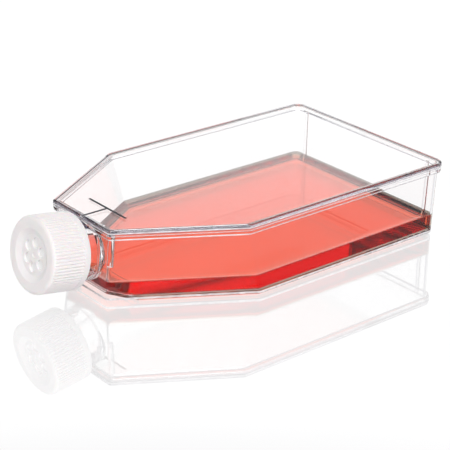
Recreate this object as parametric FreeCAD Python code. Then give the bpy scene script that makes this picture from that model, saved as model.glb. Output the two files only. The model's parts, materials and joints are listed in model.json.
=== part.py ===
"""Cell culture flask of the 175 square centimetre class, with a canted neck and a vented screw cap.

The flask is a clear moulded tray with a floor, sloping walls and a neck, closed by a welded top plate.
A ribbed cap with six vent holes and a membrane screws on the neck.  Some medium covers the floor.
Frame: +Z is up, z = 0 is the table, and the neck points to -X.  The origin is the middle of the foot.
The pieces are made with the neck end of the rim at x = 0, and move to the origin as they are written.
Along the neck, lengths are measured from the point where its axis crosses the neck end of the rim.
"""
import FreeCAD
import Part
import math
import os

Vector = FreeCAD.Vector

# Outline of the rim, seen from above (all sizes in mm)
BODY_WIDTH = 117.0
BODY_LENGTH = 198.5
NECK_END_WIDTH = 47.6
SHOULDER_RUN = 59.4
RIM_NECK_RADIUS = 2.5
RIM_SHOULDER_RADIUS = 4.0
RIM_BACK_RADIUS = 6.5

# Heights
RIM_TOP = 42.5
PLATE_THICKNESS = 2.4
FLANGE_THICKNESS = 3.0
FOOT_HEIGHT = 1.6
FLOOR_THICKNESS = 1.6

# Walls: how far each one stands in from the rim, at the rim and at the floor
RIM_OVERHANG = 1.8
WALL_THICKNESS = 1.5
NECK_END_DRAW_IN = 3.4
SHOULDER_DRAW_IN = 7.4
SIDE_DRAW_IN = 2.4
BACK_DRAW_IN = 2.2
WALL_NECK_RADIUS = 3.0
WALL_SHOULDER_RADIUS = 4.0
WALL_BACK_RADIUS = 5.0
SMALLEST_RADIUS = 0.4
FLOOR_BEVEL = 1.0

# Floor: ramp under the neck end, and the foot that runs round below the flat part
RAMP_RUN = 12.0
RAMP_RISE = 4.0
FOOT_SETBACK = 2.4
FOOT_WIDTH = 1.6

# Weld between the tray's flange and the top plate
SEAM_STEP = 0.2
TONGUE_WIDTH = 1.0
TONGUE_DEPTH = 1.3
WELD_CLEARANCE = 0.1
PLATE_EDGE_RADIUS = 1.1
FLANGE_BEVEL = 0.7

# Neck
NECK_AXIS_HEIGHT = 24.2
NECK_CANT = 9.2
NECK_RADIUS = 14.7
NECK_WALL = 2.0
NECK_ROOT_RADIUS = 15.7
NECK_ROOT_LENGTH = 4.6
NECK_BEAD_HEIGHT = 1.3
NECK_BEAD_WIDTH = 1.6
NECK_BEAD_TO_CAP = 0.9
LIP_BEVEL = 0.5
THREAD_HEIGHT = 1.5
THREAD_CLEARANCE = 0.35

# Cap
CAP_STANDOFF = 7.5
CAP_LENGTH = 21.5
CAP_REAR_RADIUS = 19.5
CAP_FRONT_RADIUS = 19.4
CAP_TOP_THICKNESS = 2.2
CAP_EDGE_BEVEL = 2.2
CAP_EDGE_STEP = 0.65
CAP_REAR_EDGE_BEVEL = 0.4
CAP_SEAT_GAP = 0.3
RIB_COUNT = 72
RIB_DEPTH = 0.5
RIB_STEP = 0.1
RIB_CREST_SHARE = 0.5
RIB_FRONT_BAND = 2.6
RIB_REAR_BAND = 3.2
RECESS_RADIUS = 10.2
RECESS_DEPTH = 1.7
RECESS_FLARE = 2.9
RECESS_EDGE_BEVEL = 0.3
VENT_FLOOR_THICKNESS = 1.2
VENT_HOLE_COUNT = 6
VENT_HOLE_RADIUS = 2.5
VENT_PITCH_RADIUS = 6.2
GATE_RADIUS = 1.0
GATE_DEPTH = 0.3
PLUG_LENGTH = 2.5
PLUG_WALL = 1.2
PLUG_CLEARANCE = 0.2

# Vent membrane
MEMBRANE_THICKNESS = 0.3
MEMBRANE_CLEARANCE = 0.1

# Medium
MEDIUM_DEPTH = 7.0

# Worked out from the sizes above
PLATE_UNDERSIDE = RIM_TOP - PLATE_THICKNESS
FLANGE_UNDERSIDE = PLATE_UNDERSIDE - FLANGE_THICKNESS
FLOOR_TOP = FOOT_HEIGHT + FLOOR_THICKNESS
MEDIUM_TOP = FLOOR_TOP + MEDIUM_DEPTH
CAP_FRONT = CAP_STANDOFF + CAP_LENGTH
CAP_CEILING = CAP_FRONT - CAP_TOP_THICKNESS
NECK_MOUTH = CAP_CEILING - CAP_SEAT_GAP
NECK_BORE_RADIUS = NECK_RADIUS - NECK_WALL
CAP_BORE_RADIUS = NECK_RADIUS + THREAD_HEIGHT + THREAD_CLEARANCE
PLUG_RADIUS = NECK_BORE_RADIUS - PLUG_CLEARANCE
PLUG_BORE_RADIUS = PLUG_RADIUS - PLUG_WALL
VENT_FLOOR_UNDERSIDE = CAP_FRONT - RECESS_DEPTH - VENT_FLOOR_THICKNESS
RAMP_END = NECK_END_DRAW_IN + RAMP_RUN
FOOT_MIDDLE = (RAMP_END + BODY_LENGTH - BACK_DRAW_IN) / 2
MARGIN = 5.0
NECK_STOCK_START = -(NECK_END_DRAW_IN + WALL_THICKNESS + MARGIN)


def outline_corners(neck_inset, shoulder_inset, side_inset, back_inset):
    """Corners of the six-sided outline with each side moved in by its own distance."""
    half_neck = NECK_END_WIDTH / 2
    half_width = BODY_WIDTH / 2
    spread = half_width - half_neck
    slope_length = math.hypot(SHOULDER_RUN, spread)
    start_x = shoulder_inset * spread / slope_length
    start_y = half_neck - shoulder_inset * SHOULDER_RUN / slope_length
    neck_y = start_y + (neck_inset - start_x) * spread / SHOULDER_RUN
    side_y = half_width - side_inset
    shoulder_x = start_x + (side_y - start_y) * SHOULDER_RUN / spread
    back_x = BODY_LENGTH - back_inset
    left = [(neck_inset, neck_y), (shoulder_x, side_y), (back_x, side_y)]
    right = [(x, -y) for x, y in reversed(left)]
    return left + right


def corner_arc(before, corner, after, radius):
    """Start, middle and end of the arc that rounds one corner."""
    to_before = (before - corner).normalize()
    to_after = (after - corner).normalize()
    half_angle = to_before.getAngle(to_after) / 2
    reach = radius / math.tan(half_angle)
    inward = (to_before + to_after).normalize()
    middle = corner + inward * (radius / math.sin(half_angle) - radius)
    return corner + to_before * reach, middle, corner + to_after * reach


def rounded_outline(insets, radii, z):
    """Closed wire of the outline at one height; radii are for the neck, shoulder and back corners."""
    corners = [Vector(x, y, z) for x, y in outline_corners(*insets)]
    corner_radii = list(radii) + list(reversed(radii))
    arcs = []
    for i, corner in enumerate(corners):
        after = corners[(i + 1) % len(corners)]
        arcs.append(corner_arc(corners[i - 1], corner, after, corner_radii[i]))
    edges = []
    for i, (start, middle, end) in enumerate(arcs):
        next_start = arcs[(i + 1) % len(arcs)][0]
        edges.append(Part.Arc(start, middle, end).toShape())
        edges.append(Part.makeLine(end, next_start))
    return Part.Wire(edges)


def reduced(radii, amount):
    """Corner radii of an outline that lies further in."""
    return [max(radius - amount, SMALLEST_RADIUS) for radius in radii]


def rim_slab(inset, bottom, top):
    """Slab with the rim's outline, moved in evenly."""
    radii = reduced((RIM_NECK_RADIUS, RIM_SHOULDER_RADIUS, RIM_BACK_RADIUS), inset)
    wire = rounded_outline([inset] * 4, radii, bottom)
    return Part.Face(wire).extrude(Vector(0, 0, top - bottom))


def wall_insets(z, depth):
    """Insets of the sloping walls at one height, a given depth inside their outer faces."""
    share = (z - FOOT_HEIGHT) / (PLATE_UNDERSIDE - FOOT_HEIGHT)
    draw_ins = (NECK_END_DRAW_IN, SHOULDER_DRAW_IN, SIDE_DRAW_IN, BACK_DRAW_IN)
    return [draw_in + (RIM_OVERHANG - draw_in) * share + depth for draw_in in draw_ins]


def wall_loft(sections):
    """Solid between outlines of the walls, each given as (height, depth inside their outer faces)."""
    wires = []
    for z, depth in sections:
        radii = reduced((WALL_NECK_RADIUS, WALL_SHOULDER_RADIUS, WALL_BACK_RADIUS), depth)
        wires.append(rounded_outline(wall_insets(z, depth), radii, z))
    return Part.makeLoft(wires, True, True)


def edges_at_height(solid, z):
    """The edges of a solid that lie flat at one height."""
    edges = []
    for edge in solid.Edges:
        box = edge.BoundBox
        if abs(box.ZMin - z) < 0.001 and abs(box.ZMax - z) < 0.001:
            edges.append(edge)
    return edges


def ramp_wedge(thickness):
    """Space under the ramp, raised by a thickness measured square to the ramp."""
    slope = math.atan2(RAMP_RISE, RAMP_RUN)
    raised = FOOT_HEIGHT + thickness / math.cos(slope)
    run_out = thickness / math.sin(slope) + MARGIN
    points = [
        Vector(-MARGIN, -BODY_WIDTH, raised + (RAMP_END + MARGIN) * math.tan(slope)),
        Vector(RAMP_END + run_out, -BODY_WIDTH, raised - run_out * math.tan(slope)),
        Vector(-MARGIN, -BODY_WIDTH, raised - run_out * math.tan(slope)),
    ]
    face = Part.Face(Part.makePolygon(points + points[:1]))
    return face.extrude(Vector(0, 2 * BODY_WIDTH, 0))


def below_floor(z):
    """Block that takes away everything under one height."""
    size = 2 * BODY_LENGTH
    return Part.makeBox(size, size, size, Vector(-size / 2, -size / 2, z - size))


def make_cavity():
    """Inner space of the tray, from its floor up to the top plate."""
    cavity = wall_loft([
        (FLOOR_TOP, WALL_THICKNESS + FLOOR_BEVEL),
        (FLOOR_TOP + FLOOR_BEVEL, WALL_THICKNESS),
        (PLATE_UNDERSIDE, WALL_THICKNESS),
    ])
    return cavity.cut(ramp_wedge(FLOOR_THICKNESS))


def make_foot():
    """Low ridge under the flat part of the floor, which the flask stands on."""
    insets = wall_insets(FOOT_HEIGHT, FOOT_SETBACK)
    insets[0] = RAMP_END + FOOT_SETBACK
    radii = reduced((WALL_NECK_RADIUS, WALL_SHOULDER_RADIUS, WALL_BACK_RADIUS), FOOT_SETBACK)
    outer = Part.Face(rounded_outline(insets, radii, 0))
    inner_insets = [inset + FOOT_WIDTH for inset in insets]
    inner = Part.Face(rounded_outline(inner_insets, reduced(radii, FOOT_WIDTH), 0))
    height = Vector(0, 0, FOOT_HEIGHT + FLOOR_THICKNESS / 2)
    return outer.extrude(height).cut(inner.extrude(height))


def groove_centre():
    """Inset of the weld groove, in the middle of the flange."""
    return (SEAM_STEP + RIM_OVERHANG + WALL_THICKNESS) / 2


def rim_ring(centre, width, bottom, top):
    """Ring that follows the rim's outline."""
    outer = rim_slab(centre - width / 2, bottom, top)
    return outer.cut(rim_slab(centre + width / 2, bottom - MARGIN, top + MARGIN))


def revolved(profile):
    """Solid turned about the neck's axis from points given as (radius, distance along the axis)."""
    points = [Vector(radius, 0, along) for radius, along in profile]
    face = Part.Face(Part.makePolygon(points + points[:1]))
    return face.revolve(Vector(0, 0, 0), Vector(0, 0, 1), 360)


def to_neck(shape):
    """Set a shape made about +Z on the canted axis of the neck."""
    cant = math.radians(NECK_CANT)
    outward = Vector(-math.cos(cant), 0, math.sin(cant))
    placed = shape.copy()
    rotation = FreeCAD.Rotation(Vector(0, 0, 1), outward)
    placed.Placement = FreeCAD.Placement(Vector(0, 0, NECK_AXIS_HEIGHT), rotation)
    return placed


def make_neck():
    """Outside of the neck: flared root, bead behind the cap, and bevelled lip."""
    bead_end = CAP_STANDOFF - NECK_BEAD_TO_CAP
    bead_start = bead_end - NECK_BEAD_WIDTH
    bead_radius = NECK_RADIUS + NECK_BEAD_HEIGHT
    bead_slope = NECK_BEAD_WIDTH / 4
    return revolved([
        (0, NECK_STOCK_START),
        (NECK_ROOT_RADIUS, NECK_STOCK_START),
        (NECK_ROOT_RADIUS, NECK_ROOT_LENGTH * 0.3),
        (NECK_RADIUS, NECK_ROOT_LENGTH),
        (NECK_RADIUS, bead_start),
        (bead_radius, bead_start + bead_slope),
        (bead_radius, bead_end - bead_slope),
        (NECK_RADIUS, bead_end),
        (NECK_RADIUS, NECK_MOUTH - LIP_BEVEL),
        (NECK_RADIUS - LIP_BEVEL, NECK_MOUTH),
        (0, NECK_MOUTH),
    ])


def make_flask_body(cavity):
    """Tray in one moulding: floor, walls, flange, foot and neck."""
    walls = wall_loft([(FOOT_HEIGHT, 0), (PLATE_UNDERSIDE, 0)]).cut(ramp_wedge(0))
    flange = rim_slab(SEAM_STEP, FLANGE_UNDERSIDE, PLATE_UNDERSIDE)
    flange = flange.makeChamfer(FLANGE_BEVEL, edges_at_height(flange, FLANGE_UNDERSIDE))
    groove_width = TONGUE_WIDTH + 2 * WELD_CLEARANCE
    groove_floor = PLATE_UNDERSIDE - TONGUE_DEPTH - WELD_CLEARANCE
    groove = rim_ring(groove_centre(), groove_width, groove_floor, RIM_TOP)
    bore_length = NECK_MOUTH + MARGIN - NECK_STOCK_START
    bore = Part.makeCylinder(NECK_BORE_RADIUS, bore_length, Vector(0, 0, NECK_STOCK_START))
    body = walls.fuse([flange, make_foot(), to_neck(make_neck())])
    body = body.cut(rim_slab(0, PLATE_UNDERSIDE, RIM_TOP + MARGIN))
    body = body.cut(groove).cut(cavity).cut(to_neck(bore))
    return body.removeSplitter()


def make_top_plate():
    """Welded lid with a rounded upper edge and a tongue that sits in the flange's groove."""
    plate = rim_slab(0, PLATE_UNDERSIDE, RIM_TOP)
    plate = plate.makeFillet(PLATE_EDGE_RADIUS, edges_at_height(plate, RIM_TOP))
    tongue = rim_ring(groove_centre(), TONGUE_WIDTH, PLATE_UNDERSIDE - TONGUE_DEPTH, PLATE_UNDERSIDE + 1)
    return plate.fuse(tongue).removeSplitter()


def cap_radius(along):
    """Outer radius of the slightly tapered cap at one distance along the axis."""
    share = (along - CAP_STANDOFF) / CAP_LENGTH
    return CAP_REAR_RADIUS + (CAP_FRONT_RADIUS - CAP_REAR_RADIUS) * share


def rib_outline(along):
    """Wire round the grip ribs: flat crests with a V-shaped groove after each one."""
    crest = cap_radius(along) - RIB_STEP
    corners = ((0.0, crest), (RIB_CREST_SHARE, crest), ((1 + RIB_CREST_SHARE) / 2, crest - RIB_DEPTH))
    points = []
    for i in range(RIB_COUNT):
        for share, radius in corners:
            angle = math.tau * (i + share) / RIB_COUNT
            points.append(Vector(radius * math.cos(angle), radius * math.sin(angle), along))
    return Part.makePolygon(points + points[:1])


def make_cap():
    """Cap with a ribbed grip, a vented recess in front, and a plug inside."""
    recess_edge = RECESS_RADIUS + RECESS_FLARE
    ribs_start = CAP_STANDOFF + RIB_REAR_BAND
    ribs_end = CAP_FRONT - RIB_FRONT_BAND
    shell = revolved([
        (0, CAP_STANDOFF),
        (CAP_REAR_RADIUS - CAP_REAR_EDGE_BEVEL, CAP_STANDOFF),
        (CAP_REAR_RADIUS, CAP_STANDOFF + CAP_REAR_EDGE_BEVEL),
        (cap_radius(ribs_start), ribs_start),
        (CAP_BORE_RADIUS, ribs_start),
        (CAP_BORE_RADIUS, ribs_end),
        (cap_radius(ribs_end), ribs_end),
        (CAP_FRONT_RADIUS, CAP_FRONT - CAP_EDGE_BEVEL),
        (CAP_FRONT_RADIUS - CAP_EDGE_STEP, CAP_FRONT - CAP_EDGE_STEP),
        (CAP_FRONT_RADIUS - CAP_EDGE_BEVEL, CAP_FRONT),
        (0, CAP_FRONT),
    ])
    grip = Part.makeLoft([rib_outline(ribs_start), rib_outline(ribs_end)], True, True)
    recess = revolved([
        (0, CAP_FRONT - RECESS_DEPTH),
        (RECESS_RADIUS, CAP_FRONT - RECESS_DEPTH),
        (recess_edge, CAP_FRONT - RECESS_EDGE_BEVEL),
        (recess_edge + RECESS_EDGE_BEVEL, CAP_FRONT),
        (recess_edge + RECESS_EDGE_BEVEL, CAP_FRONT + MARGIN),
        (0, CAP_FRONT + MARGIN),
    ])
    hollow = revolved([
        (0, CAP_STANDOFF - MARGIN),
        (CAP_BORE_RADIUS, CAP_STANDOFF - MARGIN),
        (CAP_BORE_RADIUS, CAP_CEILING),
        (PLUG_RADIUS, CAP_CEILING),
        (PLUG_RADIUS, VENT_FLOOR_UNDERSIDE - PLUG_LENGTH),
        (PLUG_BORE_RADIUS, VENT_FLOOR_UNDERSIDE - PLUG_LENGTH),
        (PLUG_BORE_RADIUS, VENT_FLOOR_UNDERSIDE),
        (0, VENT_FLOOR_UNDERSIDE),
    ])
    return to_neck(shell.fuse(grip).cut([recess, hollow, vent_holes()]))


def vent_holes():
    """Ring of vent holes and the small gate dimple in the middle of the recess."""
    height = RECESS_DEPTH + VENT_FLOOR_THICKNESS + 1
    tools = []
    for i in range(VENT_HOLE_COUNT):
        angle = math.tau * i / VENT_HOLE_COUNT
        spot = Vector(VENT_PITCH_RADIUS * math.cos(angle), VENT_PITCH_RADIUS * math.sin(angle), 0)
        spot.z = VENT_FLOOR_UNDERSIDE - 1
        tools.append(Part.makeCylinder(VENT_HOLE_RADIUS, height, spot))
    dimple_floor = CAP_FRONT - RECESS_DEPTH - GATE_DEPTH
    tools.append(Part.makeCylinder(GATE_RADIUS, height, Vector(0, 0, dimple_floor)))
    return Part.makeCompound(tools)


def make_membrane():
    """Thin round filter behind the vent holes, inside the cap's plug."""
    radius = PLUG_BORE_RADIUS - MEMBRANE_CLEARANCE
    bottom = VENT_FLOOR_UNDERSIDE - MEMBRANE_THICKNESS - MEMBRANE_CLEARANCE / 2
    return to_neck(Part.makeCylinder(radius, MEMBRANE_THICKNESS, Vector(0, 0, bottom)))


def save(shape, name):
    """Move one node to the origin, write it and print its size."""
    shape = shape.copy()
    shape.translate(Vector(-FOOT_MIDDLE, 0, 0))
    shape.exportStep(os.path.join("parts", name + ".step"))
    box = shape.BoundBox
    print(name, "solids", len(shape.Solids), "valid", shape.isValid(), "volume", round(shape.Volume, 1),
          "x", round(box.XMin, 2), round(box.XMax, 2), "z", round(box.ZMin, 2), round(box.ZMax, 2))


def main():
    """Build every node."""
    os.makedirs("parts", exist_ok=True)
    cavity = make_cavity()
    save(make_flask_body(cavity), "flask_body")
    save(make_top_plate(), "top_plate")
    save(make_cap(), "screw_cap")
    save(make_membrane(), "vent_membrane")
    save(cavity.cut(cavity.cut(below_floor(MEDIUM_TOP))), "culture_medium")


main()
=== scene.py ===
import json
import math

import bmesh
import bpy
import numpy as np
from mathutils import Matrix, Vector


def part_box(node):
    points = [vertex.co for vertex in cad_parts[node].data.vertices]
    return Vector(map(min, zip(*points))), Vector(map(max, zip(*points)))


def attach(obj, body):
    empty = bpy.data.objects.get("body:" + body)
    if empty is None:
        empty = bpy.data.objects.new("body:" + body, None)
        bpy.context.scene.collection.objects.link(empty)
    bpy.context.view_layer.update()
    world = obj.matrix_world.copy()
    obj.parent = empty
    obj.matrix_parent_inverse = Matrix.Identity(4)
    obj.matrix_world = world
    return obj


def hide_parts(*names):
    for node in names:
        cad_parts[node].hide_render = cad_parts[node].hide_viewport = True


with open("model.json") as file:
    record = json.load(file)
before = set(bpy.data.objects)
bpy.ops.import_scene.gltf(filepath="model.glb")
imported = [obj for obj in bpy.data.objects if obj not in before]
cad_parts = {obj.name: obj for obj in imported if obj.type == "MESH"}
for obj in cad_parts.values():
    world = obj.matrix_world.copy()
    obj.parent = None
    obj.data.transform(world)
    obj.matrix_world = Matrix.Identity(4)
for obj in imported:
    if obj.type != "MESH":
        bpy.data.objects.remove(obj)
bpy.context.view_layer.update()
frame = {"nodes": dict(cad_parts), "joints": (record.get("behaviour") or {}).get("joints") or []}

MM = 0.001

# Rim and lid.  Corner radii are for the neck end, the shoulders' far ends and the back, in that order.
RIM_LOW, RIM_HIGH = (np.array(corner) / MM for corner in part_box("top_plate"))
RIM_X = RIM_LOW[0]
RIM_LENGTH = RIM_HIGH[0] - RIM_LOW[0]
RIM_WIDTH = RIM_HIGH[1] - RIM_LOW[1]
RIM_TOP = RIM_HIGH[2]
NECK_END_WIDTH = 47.6
SHOULDER_RUN = 59.4
RIM_RADII = (2.5, 4.0, 6.5)
PLATE_THICKNESS = 2.4
PLATE_UNDERSIDE = RIM_TOP - PLATE_THICKNESS
PLATE_EDGE_RADIUS = 1.1
PLATE_LOWER_EDGE_RADIUS = 0.3
PLATE_SINK = 0.05
TONGUE_OUTER_INSET = 1.25
TONGUE_WIDTH = 1.0
TONGUE_DEPTH = 1.3
FLANGE_UNDERSIDE = PLATE_UNDERSIDE - 3.0

# Thin rings round the flask, each from an outer to an inner inset and from a low to a high level
# The weld line is a ring of painted shade, a dark line under the lid's edge.
WELD_LINE_SHADE = (0.85, 1.65, PLATE_UNDERSIDE + 0.02, PLATE_UNDERSIDE + 0.08)
# Rings of painted highlight: white lines at the seam, along the flange's lower edge and round the foot.
WELD_SEAM_HIGHLIGHT = (-0.03, 0.03, PLATE_UNDERSIDE + 0.4, PLATE_UNDERSIDE + 0.95)
FLANGE_EDGE_HIGHLIGHT = (0.45, 0.72, FLANGE_UNDERSIDE - 0.05, FLANGE_UNDERSIDE + 0.15)
FOOT_HIGHLIGHT = (-0.03, 0.05, 1.75, 2.9)

# Walls of the tray.  The draw-ins are those of the neck end, shoulders, sides and back, in that order.
WALL_THICKNESS = 1.5
RIM_OVERHANG = 1.8
DRAW_INS = np.array([3.4, 7.4, 2.4, 2.2])
WALL_RADII = (3.0, 4.0, 5.0)
SMALLEST_RADIUS = 0.4
FOOT_HEIGHT = 1.6
FLOOR_BEVEL = 1.0
RAMP_RUN = 12.0
RAMP_HEIGHT = 4.0
RAMP_SLOPE = RAMP_HEIGHT / RAMP_RUN
RAMP_X_END = RIM_X + DRAW_INS[0] + RAMP_RUN

# Fillets up the tray's corners: of the beads, one pair stands at the neck end and one at the back
CORNER_FILLET_RADII = (1.5, 2.5, 7.5)
CORNER_BEAD_RADII = (1.4, 1.1, 1.1, 1.4)
CORNER_BEAD_STEPS = 16
CORNER_BEAD_ROWS = 12
NECK_CORNER_BEAD_FOOT = 21.0
BACK_CORNER_BEAD_LIFT = 0.6
CORNER_BEAD_TOP = PLATE_UNDERSIDE - TONGUE_DEPTH - 0.4

# Medium, with its surface's painted shades by which way it faces, from straight down (0) to straight up (1)
MEDIUM_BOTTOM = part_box("culture_medium")[0].z / MM
MEDIUM_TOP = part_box("culture_medium")[1].z / MM
SOAK = 0.2
MENISCUS_RISE = 1.9
MENISCUS_LENGTH = 2.1
MENISCUS_REACH = 1.9
MENISCUS_ROWS = 12
MEDIUM_PAINTED_SHADES = (
    (0.40, "#FFFFFF"), (0.46, "#E0FFFF"), (0.54, "#E0FFFF"),
    (0.62, "#6E5F58"), (0.95, "#8A7A70"), (0.99, "#FFFFFF"),
)

# Neck and cap, along the axis of the cap's joints
NECK_AXIS = next(np.array(j["axis"]) for j in frame["joints"] if j["name"] == "cap_rise")
NECK_ORIGIN = next(np.array(j["pos_m"]) / MM for j in frame["joints"] if j["name"] == "cap_turn")
NECK_RADIUS = 14.7
NECK_FILLET_LEAST = 0.4
NECK_FILLET_MOST = 2.6
NECK_FILLET_SIDES = 96
NECK_FILLET_SINK = 0.7
END_WALL_ALONG = -2.2
THREAD_PITCH = 4.0
THREAD_HEIGHT = 1.5
THREAD_ROOT_WIDTH = 2.0
THREAD_CREST_WIDTH = 0.9
THREAD_SINK = 0.25
THREAD_RUN_OUT = 0.12
NECK_THREAD_START = 15.1
NECK_THREAD_TURNS = 1.75
CAP_THREAD_START = 13.6
CAP_THREAD_TURNS = 1.5
CAP_BORE_RADIUS = 16.55
CAP_REAR = 7.5
CAP_FRONT = 29.0
CAP_REAR_RADIUS = 19.5
CAP_FRONT_RADIUS = 19.4
CAP_FRONT_ROUNDING = 2.2
CAP_REAR_ROUNDING = 0.5
CAP_CEILING = 26.8
RIB_COUNT = 72
RIB_DEPTH = 0.5
RIB_STEPS = 8
RIBS_START = 10.7
RIBS_END = 28.2
RIB_RUN_OUT = 1.2
RECESS_RADIUS = 10.2
RECESS_EDGE_RADIUS = 13.4
RECESS_ROUNDING = 0.8
RECESS_FLOOR = 27.3
WEB_BACK = 26.1
WEB_INNER_RADIUS = 2.6
WEB_OUTER_RADIUS = 9.4
VENT_HOLE_COUNT = 6
VENT_HOLE_RADIUS = 2.5
VENT_PITCH_RADIUS = 6.2
VENT_ROUNDING = 0.3
GATE_RADIUS = 1.0
GATE_DEPTH = 0.3
PLUG_RADIUS = 12.5
PLUG_BORE_RADIUS = 11.3
PLUG_END = 23.6

# Printed mark on the lid
MARK_BAR_X = 15.4
MARK_Y = -1.5
MARK_BAR_LENGTH = 30.4
MARK_STEM_LENGTH = 13.5
MARK_WIDTH = 1.4
MARK_HEIGHT = 0.05
MARK_GAP = 0.01

# Studio, in metres: the shares of plain white in the floor as seen directly and through the flask, and of
# its mirror; the dome's colours by height at the back and at the sides; each lamp's place, power and size
FLOOR_REACH = 6.0
FLOOR_WHITE_DIRECT = 0.93
FLOOR_WHITE_THROUGH = 0.84
FLOOR_MIRROR = 0.25
DOME_LIGHT = 0.52
BACK_DIRECTION = (0.65, 0.76, 0.0)
BACK_BANDS = (
    (0.0, "#FFFFFF"), (0.22, "#FFFFFF"), (0.32, "#EAEAEA"), (0.50, "#EAEAEA"),
    (0.60, "#42365C"), (0.85, "#42365C"), (0.93, "#FFFFFF"),
)
SIDE_BANDS = (
    (0.0, "#FFFFFF"), (0.30, "#FFFFFF"), (0.40, "#5E5078"), (0.85, "#5E5078"), (0.93, "#FFFFFF"),
)
KEY_LAMP = ((-0.68, -1.05, 1.32), 19, 1.2)
BACK_LAMP = ((1.29, 1.51, 0.90), 2.0, 1.4)
LIGHT_PATH_BOUNCES = 48

# Camera
CAMERA_PLACE = Vector((-490.1, -552.7, 339.9)) * MM
CAMERA_AZIMUTH = -40.42
CAMERA_ELEVATION = 24.41
CAMERA_ROLL = 1.63
CAMERA_LENS = 120.85
CAMERA_SHIFT = (0.0221, 0.0137)

# Points on each corner's arc and on each side of an outline
ARC_STEPS = 10
SIDE_STEPS = 12


# ------------------------------------------------------------------------------ surfaces
def grid_faces(rows, columns, first=0):
    """Quads between neighbouring rows of a grid whose columns close on themselves."""
    index = first + np.arange(rows * columns).reshape(rows, columns)
    beside = np.roll(index, -1, axis=1)
    quads = np.stack([index[:-1], beside[:-1], beside[1:], index[1:]], axis=-1)
    return quads.reshape(-1, 4).tolist()


def skin(loops, start_closed=True, end_closed=True):
    """Skin through equal loops of points: quads between them, and a flat face across each closed end."""
    loops = np.asarray(loops)
    rows, columns = loops.shape[:2]
    faces = grid_faces(rows, columns)
    if start_closed:
        faces.append(list(range(columns)))
    if end_closed:
        faces.append(list(range((rows - 1) * columns, rows * columns)))
    return loops.reshape(-1, 3), faces


def arc(centre, radius, start, end, steps):
    """Points on a circle about centre, from one angle to another in degrees."""
    angles = np.radians(np.linspace(start, end, steps + 1))
    return np.array(centre) + radius * np.stack([np.cos(angles), np.sin(angles)], axis=1)


def outline(insets, radii, z):
    """Loop round the six-sided rim, seen from above, at height z.

    Each side moves in by its own inset.  The corners are where neighbouring sides meet, and each is
    replaced by the arc of a circle that touches both sides.  The sides between arcs are divided evenly.
    """
    neck_inset, shoulder_inset, side_inset, back_inset = insets
    spread = (RIM_WIDTH - NECK_END_WIDTH) / 2
    slope_length = math.hypot(SHOULDER_RUN, spread)
    start_x = shoulder_inset * spread / slope_length
    start_y = NECK_END_WIDTH / 2 - shoulder_inset * SHOULDER_RUN / slope_length
    side_y = RIM_WIDTH / 2 - side_inset
    left = np.array([
        [neck_inset, start_y + (neck_inset - start_x) * spread / SHOULDER_RUN],
        [start_x + (side_y - start_y) * SHOULDER_RUN / spread, side_y],
        [RIM_LENGTH - back_inset, side_y],
    ])
    corners = np.concatenate([left, left[::-1] * [1, -1]])
    radius = np.concatenate([radii, radii[::-1]])[:, None]
    to_before = np.roll(corners, 1, axis=0) - corners
    to_after = np.roll(corners, -1, axis=0) - corners
    to_before /= np.linalg.norm(to_before, axis=1, keepdims=True)
    to_after /= np.linalg.norm(to_after, axis=1, keepdims=True)
    half = np.arccos(np.sum(to_before * to_after, axis=1, keepdims=True)) / 2
    inward = to_before + to_after
    inward /= np.linalg.norm(inward, axis=1, keepdims=True)
    centre = corners + inward * radius / np.sin(half)
    from_middle = np.linspace(-1, 1, ARC_STEPS + 1) * (math.pi / 2 - half)
    middle = np.arctan2(-inward[:, 1:], -inward[:, :1])
    angle = middle - from_middle
    arcs = centre[:, None] + radius[:, None] * np.stack([np.cos(angle), np.sin(angle)], axis=-1)
    share = np.linspace(0, 1, SIDE_STEPS + 1)[1:-1, None]
    sides = arcs[:, -1:] * (1 - share) + np.roll(arcs[:, :1], -1, axis=0) * share
    loop = np.concatenate([arcs, sides], axis=1).reshape(-1, 2)
    return np.column_stack([loop[:, 0] + RIM_X, loop[:, 1], np.full(len(loop), float(z))])


def rim_outline(inset, z):
    """Loop at one even distance inside the rim."""
    return outline([inset] * 4, np.maximum(np.array(RIM_RADII) - inset, SMALLEST_RADIUS), z)


def wall_insets(depth, z):
    """How far each kind of wall lies inside the rim at height z, at a depth inside its outer face."""
    share = (z - FOOT_HEIGHT) / (PLATE_UNDERSIDE - FOOT_HEIGHT)
    return DRAW_INS + (RIM_OVERHANG - DRAW_INS) * share + depth


def wall_outline(depth, z):
    """Loop round the sloping walls at height z, a given depth inside their outer faces."""
    return outline(wall_insets(depth, z), np.maximum(np.array(WALL_RADII) - depth, SMALLEST_RADIUS), z)


def on_neck(radius, angle, along):
    """Points at a radius, an angle from the top and a distance along the neck's axis."""
    upward = np.array([NECK_AXIS[2], 0, -NECK_AXIS[0]])
    sideways = np.array([0, 1, 0])
    radius, angle, along = (np.asarray(value)[..., None] for value in (radius, angle, along))
    turned = radius * (np.cos(angle) * upward + np.sin(angle) * sideways)
    return NECK_ORIGIN + turned + along * NECK_AXIS


# ------------------------------------------------------------------------------ materials
def linear(hex_colour):
    """Linear RGBA of an sRGB hex colour."""
    parts = [int(hex_colour[i:i + 2], 16) / 255 for i in (1, 3, 5)]
    return tuple(c / 12.92 if c <= 0.04045 else ((c + 0.055) / 1.055) ** 2.4 for c in parts) + (1.0,)


def add_node(tree, kind, inputs=None, **settings):
    """Add one node, with its settings, and its inputs given as values or as sockets to link."""
    node = tree.nodes.new(kind)
    for name, value in settings.items():
        setattr(node, name, value)
    for name, value in (inputs or {}).items():
        if isinstance(value, bpy.types.NodeSocket):
            tree.links.new(value, node.inputs[name])
        else:
            node.inputs[name].default_value = value
    return node


def new_material(name):
    """Empty material and its node tree."""
    material = bpy.data.materials.new(name)
    material.use_nodes = True
    material.node_tree.nodes.clear()
    return material, material.node_tree


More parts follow.
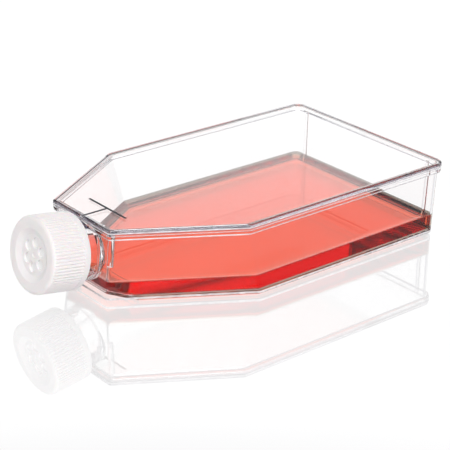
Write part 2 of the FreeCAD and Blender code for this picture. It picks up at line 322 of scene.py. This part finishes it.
def height_bands(tree, height, stops):
    """Colour ramp over a height from 0 to 1, easing between the given (height, colour) stops."""
    bands = add_node(tree, "ShaderNodeValToRGB", {"Fac": height})
    bands.color_ramp.interpolation = "EASE"
    elements = bands.color_ramp.elements
    while len(elements) < len(stops):
        elements.new(0.5)
    for element, (position, colour) in zip(elements, stops):
        element.position = position
        element.color = linear(colour)
    return bands.outputs["Color"]


def clear_polystyrene(name, gloss, edge_painted_shade):
    """Injection-moulded general-purpose polystyrene: clear, glossy, faintly violet through long paths.

    Its flow lines are about 40 mm apart and barely ripple the surface.  Faces seen edge-on take a painted
    grey shade, darker than the clear plastic's own look.
    """
    material, tree = new_material(name)
    place = add_node(tree, "ShaderNodeTexCoord").outputs["Object"]
    flow = add_node(tree, "ShaderNodeTexNoise", {
        "Vector": place, "Scale": 25.0, "Detail": 1.0,
    }).outputs["Fac"]
    ripple = add_node(tree, "ShaderNodeBump", {"Height": flow, "Strength": 0.02, "Distance": 0.001})
    shades = []
    for tint in ("#FFFFFF", edge_painted_shade):
        shades.append(add_node(tree, "ShaderNodeBsdfPrincipled", {
            "Base Color": linear(tint), "Roughness": 0.0, "IOR": 1.59, "Transmission Weight": 1.0,
            "Specular Tint": linear(gloss), "Normal": ripple.outputs["Normal"],
        }))
    # Painted shade: faces seen edge-on are mixed towards a darker grey-violet tint.
    edge_on = add_node(tree, "ShaderNodeLayerWeight", {"Blend": 0.5}).outputs["Facing"]
    steep = add_node(tree, "ShaderNodeMapRange", {"Value": edge_on, "From Min": 0.72, "From Max": 1.0})
    surface = add_node(tree, "ShaderNodeMixShader", {
        0: steep.outputs["Result"], 1: shades[0].outputs[0], 2: shades[1].outputs[0],
    })
    depth = add_node(tree, "ShaderNodeVolumeAbsorption", {"Color": (0.72, 0.66, 0.93, 1.0), "Density": 3.0})
    add_node(tree, "ShaderNodeOutputMaterial", {
        "Surface": surface.outputs[0], "Volume": depth.outputs[0],
    })
    return material


def weld_painted_shade():
    """Weld of the lid, with a painted shade: see-through, unevenly darkened where it's looked at squarely.

    The uneven spots are about 7 mm long.
    """
    material, tree = new_material("weld_painted_shade")
    place = add_node(tree, "ShaderNodeTexCoord").outputs["Object"]
    shade_spots = add_node(tree, "ShaderNodeTexNoise", {
        "Vector": place, "Scale": 150.0, "Detail": 2.0,
    }).outputs["Fac"]
    shade = add_node(tree, "ShaderNodeMix", {
        "Factor": shade_spots, "A": linear("#847E8A"), "B": linear("#948E9A"),
    }, data_type="RGBA")
    # Painted shade: the dark see-through tint used where the weld is looked at squarely.
    tinted = add_node(tree, "ShaderNodeBsdfTransparent", {"Color": shade.outputs["Result"]})
    clear = add_node(tree, "ShaderNodeBsdfTransparent", {"Color": linear("#FFFFFF")})
    edge_on = add_node(tree, "ShaderNodeLayerWeight", {"Blend": 0.5}).outputs["Facing"]
    steep = add_node(tree, "ShaderNodeMath", {0: edge_on, 1: 0.5}, operation="GREATER_THAN")
    surface = add_node(tree, "ShaderNodeMixShader", {
        0: steep.outputs[0], 1: tinted.outputs[0], 2: clear.outputs[0],
    })
    add_node(tree, "ShaderNodeOutputMaterial", {"Surface": surface.outputs[0]})
    return material


def painted_highlight_haze():
    """Painted highlights on the polystyrene's edges and foot: a broken, matt white haze.

    The breaks in the painted highlights are about 3 mm long.
    """
    material, tree = new_material("painted_highlight_haze")
    place = add_node(tree, "ShaderNodeTexCoord").outputs["Object"]
    highlight_breaks = add_node(tree, "ShaderNodeTexNoise", {
        "Vector": place, "Scale": 300.0, "Detail": 3.0,
    }).outputs["Fac"]
    cover = add_node(tree, "ShaderNodeMapRange", {
        "Value": highlight_breaks, "From Min": 0.35, "From Max": 0.65, "To Min": 0.55, "To Max": 0.95,
    })
    # Painted highlight: the white haze that stands in for the edges' glints.
    haze = add_node(tree, "ShaderNodeBsdfDiffuse", {"Color": linear("#FBF8FA")})
    clear = add_node(tree, "ShaderNodeBsdfTransparent", {"Color": linear("#FFFFFF")})
    surface = add_node(tree, "ShaderNodeMixShader", {
        0: cover.outputs["Result"], 1: clear.outputs[0], 2: haze.outputs[0],
    })
    add_node(tree, "ShaderNodeOutputMaterial", {"Surface": surface.outputs[0]})
    return material


def culture_medium():
    """Water-like medium with phenol red: clear, orange-pink in a thin layer and deep red in a thick one.

    The upright sides carry a faint painted shade and the sloping meniscus a dark one, and the flat top none.
    """
    material, tree = new_material("phenol_red_medium")
    # Painted shade by which way the surface faces: faint on the sides, dark on the meniscus.
    facing = add_node(tree, "ShaderNodeNewGeometry").outputs["True Normal"]
    upward = add_node(tree, "ShaderNodeSeparateXYZ", {0: facing}).outputs["Z"]
    height = add_node(tree, "ShaderNodeMath", {
        0: upward, 1: 0.5, 2: 0.5,
    }, operation="MULTIPLY_ADD").outputs[0]
    surface = add_node(tree, "ShaderNodeBsdfPrincipled", {
        "Base Color": height_bands(tree, height, MEDIUM_PAINTED_SHADES), "Roughness": 0.0, "IOR": 1.33,
        "Transmission Weight": 1.0, "Specular Tint": linear("#A8907C"),
    })
    depth = add_node(tree, "ShaderNodeVolumeAbsorption", {"Color": (0.998, 0.34, 0.0, 1.0), "Density": 300.0})
    add_node(tree, "ShaderNodeOutputMaterial", {
        "Surface": surface.outputs[0], "Volume": depth.outputs[0],
    })
    return material


def white_polyethylene():
    """Moulded high-density polyethylene: off-white, waxy, with a fine matt texture.

    The real grain is under 0.1 mm, and it's drawn 0.4 mm wide so that it shows.  The colour's clouds are
    about 8 mm across.
    """
    material, tree = new_material("white_moulded_polyethylene")
    place = add_node(tree, "ShaderNodeTexCoord").outputs["Object"]
    grain = add_node(tree, "ShaderNodeTexNoise", {
        "Vector": place, "Scale": 2500.0, "Detail": 2.0,
    }).outputs["Fac"]
    cloud = add_node(tree, "ShaderNodeTexNoise", {
        "Vector": place, "Scale": 120.0, "Detail": 2.0,
    }).outputs["Fac"]
    shade = add_node(tree, "ShaderNodeMix", {
        "Factor": cloud, "A": linear("#F1ECEC"), "B": linear("#F8F3F2"),
    }, data_type="RGBA")
    relief = add_node(tree, "ShaderNodeBump", {"Height": grain, "Strength": 0.15, "Distance": 0.0002})
    surface = add_node(tree, "ShaderNodeBsdfPrincipled", {
        "Base Color": shade.outputs["Result"], "Roughness": 0.42, "IOR": 1.53,
        "Subsurface Weight": 0.15, "Subsurface Scale": 0.002, "Normal": relief.outputs["Normal"],
    })
    add_node(tree, "ShaderNodeOutputMaterial", {"Surface": surface.outputs[0]})
    return material


def vent_membrane():
    """Stretched fluoropolymer filter: matt, white and finely fibrous.

    The real fibres are under 0.01 mm, and they're drawn about 0.6 mm apart so that they show.
    """
    material, tree = new_material("white_filter_membrane")
    place = add_node(tree, "ShaderNodeTexCoord").outputs["Object"]
    fibres = add_node(tree, "ShaderNodeTexNoise", {
        "Vector": place, "Scale": 1800.0, "Detail": 4.0,
    }).outputs["Fac"]
    shade = add_node(tree, "ShaderNodeMix", {
        "Factor": fibres, "A": linear("#F4F4F2"), "B": linear("#FFFFFF"),
    }, data_type="RGBA")
    relief = add_node(tree, "ShaderNodeBump", {"Height": fibres, "Strength": 0.4, "Distance": 0.0002})
    surface = add_node(tree, "ShaderNodeBsdfPrincipled", {
        "Base Color": shade.outputs["Result"], "Roughness": 0.8, "Normal": relief.outputs["Normal"],
    })
    add_node(tree, "ShaderNodeOutputMaterial", {"Surface": surface.outputs[0]})
    return material


def printing_ink():
    """Pad-printed black ink: thin, satin and slightly uneven, in spots about 1 mm across."""
    material, tree = new_material("black_printing_ink")
    place = add_node(tree, "ShaderNodeTexCoord").outputs["Object"]
    cover = add_node(tree, "ShaderNodeTexNoise", {
        "Vector": place, "Scale": 900.0, "Detail": 3.0,
    }).outputs["Fac"]
    shade = add_node(tree, "ShaderNodeMix", {
        "Factor": cover, "A": linear("#16121A"), "B": linear("#2A242E"),
    }, data_type="RGBA")
    surface = add_node(tree, "ShaderNodeBsdfPrincipled", {
        "Base Color": shade.outputs["Result"], "Roughness": 0.5,
    })
    add_node(tree, "ShaderNodeOutputMaterial", {"Surface": surface.outputs[0]})
    return material


# ------------------------------------------------------------------------------ pieces
def make_piece(name, parts, material, body, replaced=()):
    """One closed mesh from several (points, faces) parts in millimetres, welded and riding on its body."""
    points, faces, first = [], [], 0
    for part_points, part_faces in parts:
        points.append(part_points)
        faces += [[first + i for i in face] for face in part_faces]
        first += len(part_points)
    mesh = bpy.data.meshes.new(name)
    mesh.from_pydata(np.concatenate(points) * MM, [], faces)
    work = bmesh.new()
    work.from_mesh(mesh)
    bmesh.ops.remove_doubles(work, verts=work.verts, dist=1e-6)
    bmesh.ops.recalc_face_normals(work, faces=work.faces)
    work.to_mesh(mesh)
    work.free()
    mesh.shade_smooth()
    mesh.set_sharp_from_angle(angle=math.radians(35))
    mesh.materials.append(material)
    piece = bpy.data.objects.new(name, mesh)
    bpy.context.scene.collection.objects.link(piece)
    weighted = piece.modifiers.new("flat_faces_stay_flat", "WEIGHTED_NORMAL")
    weighted.keep_sharp = True
    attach(piece, body)
    if replaced:
        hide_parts(*replaced)
    return piece


def make_lid(material):
    """Lid: the section of a rounded edge and a tongue carried round the rim, closed flat above and below."""
    underside = PLATE_UNDERSIDE - PLATE_SINK
    top_edge = arc((PLATE_EDGE_RADIUS, RIM_TOP - PLATE_EDGE_RADIUS), PLATE_EDGE_RADIUS, 90, 180, 6)
    low = PLATE_LOWER_EDGE_RADIUS
    low_edge = arc((low, underside + low), low, 180, 270, 3)
    tongue_end = TONGUE_OUTER_INSET + TONGUE_WIDTH
    tongue_bottom = PLATE_UNDERSIDE - TONGUE_DEPTH
    tongue = np.array([
        [TONGUE_OUTER_INSET, underside],
        [TONGUE_OUTER_INSET, tongue_bottom],
        [tongue_end, tongue_bottom],
        [tongue_end, underside],
    ])
    section = np.concatenate([top_edge, low_edge, tongue])
    loops = [rim_outline(inset, z) for inset, z in section]
    return make_piece("lid", [skin(loops)], material, "flask", ["top_plate"])


def make_ring(name, loop_at, ring, material):
    """Closed ring: a small rectangle, between two insets and two heights, carried round the flask."""
    outer, inner, low, high = ring
    places = [(outer, low), (inner, low), (inner, high), (outer, high), (outer, low)]
    loops = [loop_at(inset, z) for inset, z in places]
    return make_piece(name, [skin(loops, False, False)], material, "flask")


def ramp_rise(x):
    """Height of the floor's ramp over its flat part."""
    return np.maximum(RAMP_X_END - x, 0) * RAMP_SLOPE


def make_corner_beads(material):
    """Fillet edges: slim round columns up the inside of the walls, following their slope.

    Two stand in the corners beside the neck and two on the back wall, where the corners' inner curves end.
    """
    back_foot = MEDIUM_BOTTOM + BACK_CORNER_BEAD_LIFT
    feet = (NECK_CORNER_BEAD_FOOT, back_foot, back_foot, NECK_CORNER_BEAD_FOOT)
    corner_start = (ARC_STEPS + SIDE_STEPS) * np.arange(6)
    places = corner_start[[0, 2, 3, 5]] + [ARC_STEPS // 2, ARC_STEPS, 0, ARC_STEPS // 2]
    angle = np.arange(CORNER_BEAD_STEPS) * 2 * math.pi / CORNER_BEAD_STEPS
    ring = np.column_stack([np.cos(angle), np.sin(angle), np.zeros_like(angle)])
    columns = []
    for radius, foot, place in zip(CORNER_BEAD_RADII, feet, places):
        heights = np.linspace(foot, CORNER_BEAD_TOP, CORNER_BEAD_ROWS)
        loops = np.array([outline(wall_insets(WALL_THICKNESS, z), CORNER_FILLET_RADII, z) for z in heights])
        columns.append(skin(loops[:, place, None] + radius * ring))
    return make_piece("corner_beads", columns, material, "flask")


def make_neck_fillet(material):
    """Curved flare between the neck and the end wall: a concave arc turned about the neck's axis.

    The flare reaches furthest at the sides, least at the top, and fades out below, where the ramped floor is.
    """
    angle = np.arange(NECK_FILLET_SIDES) * 2 * math.pi / NECK_FILLET_SIDES
    fade = np.clip(1 + 2 * np.cos(angle), 0, 1)
    reach = NECK_FILLET_LEAST + (NECK_FILLET_MOST - NECK_FILLET_LEAST) * fade * np.sin(angle) ** 2
    bend = np.linspace(1.5 * math.pi, math.pi, ARC_STEPS + 1)[:, None]
    radius = NECK_RADIUS + reach + reach * np.cos(bend)
    along = END_WALL_ALONG + reach + reach * np.sin(bend)
    buried_radius = np.full_like(reach, NECK_RADIUS - NECK_FILLET_SINK)
    buried_along = np.full_like(reach, END_WALL_ALONG - NECK_FILLET_SINK)
    radius = np.concatenate([radius, [buried_radius, buried_radius, NECK_RADIUS + reach], radius[:1]])
    along = np.concatenate([along, [END_WALL_ALONG + reach, buried_along, buried_along], along[:1]])
    loops = on_neck(radius, np.broadcast_to(angle, radius.shape), along)
    return make_piece("neck_fillet", [skin(loops, False, False)], material, "flask")


def make_medium(material):
    """Medium: follows the floor, its ramp and the walls, and climbs the walls in a meniscus.

    The meniscus's height falls off as the exponential of the distance from the wall.
    """
    floor = MEDIUM_BOTTOM - SOAK
    wall = WALL_THICKNESS - SOAK
    contact = MEDIUM_TOP + MENISCUS_RISE
    flat = wall_outline(wall + 2 * FLOOR_BEVEL, floor)
    flat[:, 0] = np.maximum(flat[:, 0], RAMP_X_END)
    loops = [flat]
    for depth, z in ((wall + FLOOR_BEVEL, floor), (wall, floor + FLOOR_BEVEL)):
        loop = wall_outline(depth, z)
        loop[:, 2] += ramp_rise(loop[:, 0])
        loops.append(loop)
    loops.append(wall_outline(wall, contact))
    away = MENISCUS_LENGTH * np.linspace(0, MENISCUS_REACH, MENISCUS_ROWS) ** 2
    for distance in away:
        z = MEDIUM_TOP + MENISCUS_RISE * math.exp(-distance / MENISCUS_LENGTH)
        loops.append(wall_outline(WALL_THICKNESS + distance, z))
    return make_piece("medium", [skin(loops)], material, "flask", ["culture_medium"])


def make_thread(name, root, crest, start, turns, material, body):
    """Screw thread: a trapezoid carried along a right-handed helix, sinking into its wall at both ends.

    The angle runs evenly through the turns, and the distance along the axis grows by a pitch a turn.
    """
    height = abs(crest - root)
    outward = (crest - root) / height
    angle = np.linspace(0, turns * math.tau, int(turns * 72) + 1)
    share = angle / angle[-1]
    fade = np.clip(np.minimum(share, 1 - share) / THREAD_RUN_OUT, 0, 1)
    fade = fade * fade * (3 - 2 * fade)
    half_root, half_crest = THREAD_ROOT_WIDTH / 2, THREAD_CREST_WIDTH / 2
    section = np.array([
        [-THREAD_SINK, -half_root], [0, -half_root],
        [0.85 * height, -half_crest * 1.15], [height, -half_crest * 0.8],
        [height, half_crest * 0.8], [0.85 * height, half_crest * 1.15],
        [0, half_root], [-THREAD_SINK, half_root],
    ])
    rise = np.where(section[:, 0] > 0, section[:, 0] * fade[:, None], section[:, 0])
    radius = root + outward * (rise - 0.1 * (1 - fade[:, None]))
    along = start + THREAD_PITCH * angle[:, None] / math.tau + section[:, 1]
    loops = on_neck(radius, np.broadcast_to(angle[:, None], radius.shape), along)
    return make_piece(name, [skin(loops)], material, body)


def cap_columns():
    """Angles of the cap's columns, with an even number for each rib and each vent hole."""
    count = RIB_COUNT * RIB_STEPS
    return np.arange(count) * math.tau / count


def turned_skin(profile, ribs=None):
    """Surface of revolution about the neck's axis through (radius, along) points.

    Where a row's rib share is over 0, its radius dips by a raised cosine, once for each rib.
    """
    profile = np.asarray(profile, float)
    ribs = np.zeros(len(profile)) if ribs is None else np.asarray(ribs, float)
    angle = cap_columns()[None, :]
    groove = (0.5 - 0.5 * np.cos(RIB_COUNT * angle)) ** 1.5
    radius = profile[:, :1] - RIB_DEPTH * ribs[:, None] * groove
    along = np.broadcast_to(profile[:, 1:], radius.shape)
    loops = on_neck(radius, np.broadcast_to(angle, radius.shape), along)
    return skin(loops, start_closed=False, end_closed=False)


def vent_sector(number):
    """One sixth of the web, both faces, with the tube of its vent hole.

    Each point of the sector's edge slides straight towards the hole's centre until it meets the hole's rim,
    so the rows between run from the edge to the rim, down the hole, and out to the edge of the back face.
    """
    columns = RIB_COUNT * RIB_STEPS // VENT_HOLE_COUNT
    half = math.pi / VENT_HOLE_COUNT
    sweep = np.linspace(-half, half, columns + 1)
    side = np.linspace(WEB_OUTER_RADIUS, WEB_INNER_RADIUS, 11)[1:-1]
    outer, inner = np.full(columns + 1, WEB_OUTER_RADIUS), np.full(columns + 1, WEB_INNER_RADIUS)
    radius = np.concatenate([outer, side, inner, side[::-1]])
    angle = np.concatenate([sweep, np.full(len(side), half), sweep[::-1], np.full(len(side), -half)])
    edge = np.stack([radius * np.cos(angle), radius * np.sin(angle)], axis=1)
    centre = np.array([VENT_PITCH_RADIUS, 0])
    direction = edge - centre
    reach = np.linalg.norm(direction, axis=1, keepdims=True)
    direction /= reach
    rounding = arc((VENT_ROUNDING, -VENT_ROUNDING), VENT_ROUNDING, 90, 180, 3)
    rim = VENT_HOLE_RADIUS + VENT_ROUNDING
    loops = []
    for share in (1.0, 0.6, 0.25):
        loops.append((centre + direction * (rim + (reach - rim) * share), RECESS_FLOOR))
    for widening, drop in rounding:
        loops.append((centre + direction * (VENT_HOLE_RADIUS + widening), RECESS_FLOOR + drop))
    for share in (0.0, 0.5, 1.0):
        loops.append((centre + direction * (VENT_HOLE_RADIUS + (reach - VENT_HOLE_RADIUS) * share), WEB_BACK))
    turn = number * math.tau / VENT_HOLE_COUNT
    rows = []
    for flat, along in loops:
        spot_radius = np.hypot(flat[:, 0], flat[:, 1])
        spot_angle = np.arctan2(flat[:, 1], flat[:, 0]) + turn
        rows.append(on_neck(spot_radius, spot_angle, np.full(len(flat), along)))
    return skin(rows, start_closed=False, end_closed=False)


def make_cap(material):
    """Cap: a turned shell with soft grip ribs, a vented recess in front, and a sealing plug inside."""
    front_radius = CAP_FRONT_RADIUS - CAP_FRONT_ROUNDING
    front_edge = arc((front_radius, CAP_FRONT - CAP_FRONT_ROUNDING), CAP_FRONT_ROUNDING, 0, 90, 12)
    rear_radius = CAP_REAR_RADIUS - CAP_REAR_ROUNDING
    rear_edge = arc((rear_radius, CAP_REAR + CAP_REAR_ROUNDING), CAP_REAR_ROUNDING, -90, 0, 4)
    dish = math.atan2(CAP_FRONT - RECESS_FLOOR, RECESS_EDGE_RADIUS - RECESS_RADIUS)
    tangent = RECESS_ROUNDING * math.tan(dish / 2)
    recess_edge = arc((RECESS_EDGE_RADIUS + tangent, CAP_FRONT - RECESS_ROUNDING),
                      RECESS_ROUNDING, 90, 90 + math.degrees(dish), 5)
    recess_corner = arc((RECESS_RADIUS - tangent, RECESS_FLOOR + RECESS_ROUNDING),
                        RECESS_ROUNDING, math.degrees(dish) - 90, -90, 5)
    rib_rows = np.array([[0.0, 0.0], [0.25, 0.4], [0.6, 0.85], [1.1, 1.0]])
    slope = (CAP_FRONT_RADIUS - CAP_REAR_RADIUS) / (CAP_FRONT - CAP_REAR)
    along = RIBS_START + rib_rows[:, 0]
    grip = np.stack([CAP_REAR_RADIUS + slope * (along - CAP_REAR), along], axis=1)
    outer = np.concatenate([
        [[CAP_BORE_RADIUS, CAP_REAR + 0.3], [CAP_BORE_RADIUS + 0.3, CAP_REAR]],
        rear_edge, grip, front_edge, recess_edge, recess_corner, [[WEB_OUTER_RADIUS, RECESS_FLOOR]],
    ])
    before = 2 + len(rear_edge)
    after = before + len(grip)
    ribs = np.zeros(len(outer))
    ribs[before:after] = rib_rows[:, 1]
    ribs[after:after + len(front_edge)] = np.clip((RIBS_END - front_edge[:, 1]) / RIB_RUN_OUT, 0, 1)
    dimple = [
        [WEB_INNER_RADIUS, RECESS_FLOOR], [GATE_RADIUS + 0.3, RECESS_FLOOR],
        [GATE_RADIUS, RECESS_FLOOR - GATE_DEPTH], [0, RECESS_FLOOR - GATE_DEPTH],
    ]
    back = [[0, WEB_BACK], [WEB_INNER_RADIUS, WEB_BACK]]
    inside = [
        [WEB_OUTER_RADIUS, WEB_BACK], [PLUG_BORE_RADIUS, WEB_BACK], [PLUG_BORE_RADIUS, PLUG_END + 0.2],
        [PLUG_BORE_RADIUS + 0.2, PLUG_END], [PLUG_RADIUS - 0.2, PLUG_END], [PLUG_RADIUS, PLUG_END + 0.2],
        [PLUG_RADIUS, CAP_CEILING], [CAP_BORE_RADIUS, CAP_CEILING], [CAP_BORE_RADIUS, CAP_REAR + 0.3],
    ]
    parts = [turned_skin(outer, ribs), turned_skin(dimple), turned_skin(back), turned_skin(inside)]
    parts += [vent_sector(number) for number in range(VENT_HOLE_COUNT)]
    return make_piece("vented_cap", parts, material, "cap", ["screw_cap"])


def make_mark(material):
    """Printed mark on the lid: a bar across the neck end and a stem towards the neck, as thin flat strips."""
    def strip(x_from, x_to, half_width):
        corners = np.array([
            [x_from, -half_width], [x_to, -half_width], [x_to, half_width], [x_from, half_width],
        ])
        loops = [np.column_stack([corners, np.full(4, z)]) for z in (RIM_TOP, RIM_TOP + MARK_HEIGHT)]
        return skin(np.array(loops) + [RIM_X, MARK_Y, MARK_GAP])

    half = MARK_WIDTH / 2
    bar = strip(MARK_BAR_X - half, MARK_BAR_X + half, MARK_BAR_LENGTH / 2)
    stem = strip(MARK_BAR_X - half - MARK_STEM_LENGTH, MARK_BAR_X - half - MARK_GAP, half)
    return make_piece("printed_mark", [bar, stem], material, "flask")


# ------------------------------------------------------------------------------ studio
def is_seen_directly(tree):
    """1 for camera, mirror and see-through rays, and 0 for the rays that only carry light."""
    path = add_node(tree, "ShaderNodeLightPath")
    either = add_node(tree, "ShaderNodeMath", {
        0: path.outputs["Is Camera Ray"], 1: path.outputs["Is Glossy Ray"],
    }, operation="MAXIMUM")
    return add_node(tree, "ShaderNodeMath", {
        0: either.outputs[0], 1: path.outputs["Is Transmission Ray"],
    }, operation="MAXIMUM").outputs[0]


def make_floor():
    """White acrylic sheet: shows as plain white, with a faint mirror image and the object's soft shadow.

    From below it's clear, so that the flask's underside can be seen.
    """
    mesh = bpy.data.meshes.new("studio_floor")
    signs = ((-1, -1), (1, -1), (1, 1), (-1, 1))
    mesh.from_pydata([(x * FLOOR_REACH, y * FLOOR_REACH, 0) for x, y in signs], [], [(0, 1, 2, 3)])
    floor = bpy.data.objects.new("studio_floor", mesh)
    bpy.context.scene.collection.objects.link(floor)
    material, tree = new_material("white_acrylic_sheet")
    paint = add_node(tree, "ShaderNodeBsdfDiffuse", {"Color": linear("#F4F4F4")})
    glow = add_node(tree, "ShaderNodeEmission", {"Color": linear("#FFFFFF"), "Strength": 1.0})
    is_camera_ray = add_node(tree, "ShaderNodeLightPath").outputs["Is Camera Ray"]
    direct = add_node(tree, "ShaderNodeMath", {0: is_camera_ray, 1: FLOOR_WHITE_DIRECT}, operation="MULTIPLY")
    through = add_node(tree, "ShaderNodeMath", {
        0: is_seen_directly(tree), 1: FLOOR_WHITE_THROUGH,
    }, operation="MULTIPLY")
    white_share = add_node(tree, "ShaderNodeMath", {
        0: through.outputs[0], 1: direct.outputs[0],
    }, operation="MAXIMUM")
    white = add_node(tree, "ShaderNodeMixShader", {
        0: white_share.outputs[0], 1: paint.outputs[0], 2: glow.outputs[0],
    })
    mirror = add_node(tree, "ShaderNodeBsdfGlossy", {"Color": linear("#FFFFFF"), "Roughness": 0.0})
    sheet = add_node(tree, "ShaderNodeMixShader", {
        0: FLOOR_MIRROR, 1: white.outputs[0], 2: mirror.outputs[0],
    })
    from_below = add_node(tree, "ShaderNodeNewGeometry").outputs["Backfacing"]
    clear = add_node(tree, "ShaderNodeBsdfTransparent", {"Color": linear("#FFFFFF")})
    surface = add_node(tree, "ShaderNodeMixShader", {0: from_below, 1: sheet.outputs[0], 2: clear.outputs[0]})
    add_node(tree, "ShaderNodeOutputMaterial", {"Surface": surface.outputs[0]})
    mesh.materials.append(material)


def make_world():
    """Soft studio dome: an even light, plain white to the camera.

    Mirrored or through the flask it shows white low down and overhead, with dark sides and a pale back.
    """
    world = bpy.data.worlds.new("studio")
    bpy.context.scene.world = world
    world.use_nodes = True
    tree = world.node_tree
    tree.nodes.clear()
    place = add_node(tree, "ShaderNodeTexCoord")
    height = add_node(tree, "ShaderNodeSeparateXYZ", {0: place.outputs["Generated"]}).outputs["Z"]
    sides = height_bands(tree, height, SIDE_BANDS)
    back = height_bands(tree, height, BACK_BANDS)
    towards_back = add_node(tree, "ShaderNodeVectorMath", {
        0: place.outputs["Generated"], 1: BACK_DIRECTION,
    }, operation="DOT_PRODUCT")
    back_share = add_node(tree, "ShaderNodeMapRange", {
        "Value": towards_back.outputs["Value"], "From Min": 0.35, "From Max": 0.65,
    }, interpolation_type="SMOOTHSTEP")
    studio = add_node(tree, "ShaderNodeMix", {
        "Factor": back_share.outputs["Result"], "A": sides, "B": back,
    }, data_type="RGBA")
    is_camera_ray = add_node(tree, "ShaderNodeLightPath").outputs["Is Camera Ray"]
    shown = add_node(tree, "ShaderNodeMix", {
        "Factor": is_camera_ray, "A": studio.outputs["Result"], "B": linear("#FFFFFF"),
    }, data_type="RGBA")
    seen = add_node(tree, "ShaderNodeBackground", {"Color": shown.outputs["Result"], "Strength": 1.0})
    light = add_node(tree, "ShaderNodeBackground", {"Color": linear("#FFFFFF"), "Strength": DOME_LIGHT})
    both = add_node(tree, "ShaderNodeMixShader", {
        0: is_seen_directly(tree), 1: light.outputs[0], 2: seen.outputs[0],
    })
    add_node(tree, "ShaderNodeOutputWorld", {"Surface": both.outputs[0]})


def make_lamp(name, place, power, size):
    """Large square soft lamp aimed at the flask."""
    data = bpy.data.lights.new(name, "AREA")
    data.energy = power
    data.size = size
    lamp = bpy.data.objects.new(name, data)
    lamp.location = place
    lamp.rotation_euler = (-Vector(place)).to_track_quat("-Z", "Y").to_euler()
    bpy.context.scene.collection.objects.link(lamp)


def make_camera():
    """Camera at its place, turned by azimuth, elevation and roll."""
    data = bpy.data.cameras.new("camera")
    data.lens = CAMERA_LENS
    data.shift_x, data.shift_y = CAMERA_SHIFT
    camera = bpy.data.objects.new("camera", data)
    azimuth, elevation = math.radians(CAMERA_AZIMUTH), math.radians(CAMERA_ELEVATION)
    turn = Matrix.Rotation(azimuth, 4, "Z") @ Matrix.Rotation(math.pi / 2 - elevation, 4, "X")
    turn = turn @ Matrix.Rotation(math.radians(CAMERA_ROLL), 4, "Z")
    camera.matrix_world = Matrix.Translation(CAMERA_PLACE) @ turn
    data.clip_end = 50
    bpy.context.scene.collection.objects.link(camera)
    bpy.context.scene.camera = camera


def dress(node, material):
    """Give a CAD node its material."""
    node.data.materials.clear()
    node.data.materials.append(material)


def allow_long_light_paths():
    """Light guided inside the clear walls and the medium meets many surfaces before it leaves."""
    cycles = bpy.context.scene.cycles
    cycles.max_bounces = LIGHT_PATH_BOUNCES
    cycles.transmission_bounces = LIGHT_PATH_BOUNCES
    cycles.glossy_bounces = LIGHT_PATH_BOUNCES


bpy.context.scene.view_settings.view_transform = "Standard"
allow_long_light_paths()
# The body's faces seen edge-on take a painted grey shade; the lid's take none.
polystyrene = clear_polystyrene("clear_polystyrene_body", "#606060", "#6E6A78")
highlight_material = painted_highlight_haze()
polyethylene = white_polyethylene()
dress(frame["nodes"]["flask_body"], polystyrene)
dress(frame["nodes"]["vent_membrane"], vent_membrane())
make_lid(clear_polystyrene("clear_polystyrene_lid", "#F0F0F0", "#FFFFFF"))
# A ring of painted shade along the weld, drawn as a dark line.
make_ring("weld_line_shade", rim_outline, WELD_LINE_SHADE, weld_painted_shade())
# Painted highlights at the seam, the flange's lower edge and the foot.
make_ring("weld_seam_highlight", rim_outline, WELD_SEAM_HIGHLIGHT, highlight_material)
make_ring("flange_edge_highlight", rim_outline, FLANGE_EDGE_HIGHLIGHT, highlight_material)
make_ring("foot_highlight", wall_outline, FOOT_HIGHLIGHT, highlight_material)
make_corner_beads(polystyrene)
make_neck_fillet(polystyrene)
make_medium(culture_medium())
make_cap(polyethylene)
make_thread("neck_thread", NECK_RADIUS, NECK_RADIUS + THREAD_HEIGHT, NECK_THREAD_START,
            NECK_THREAD_TURNS, polystyrene, "flask")
make_thread("cap_thread", CAP_BORE_RADIUS, CAP_BORE_RADIUS - THREAD_HEIGHT, CAP_THREAD_START,
            CAP_THREAD_TURNS, polyethylene, "cap")
make_mark(printing_ink())
make_floor()
make_world()
make_lamp("key_lamp", *KEY_LAMP)
make_lamp("back_lamp", *BACK_LAMP)
make_camera()
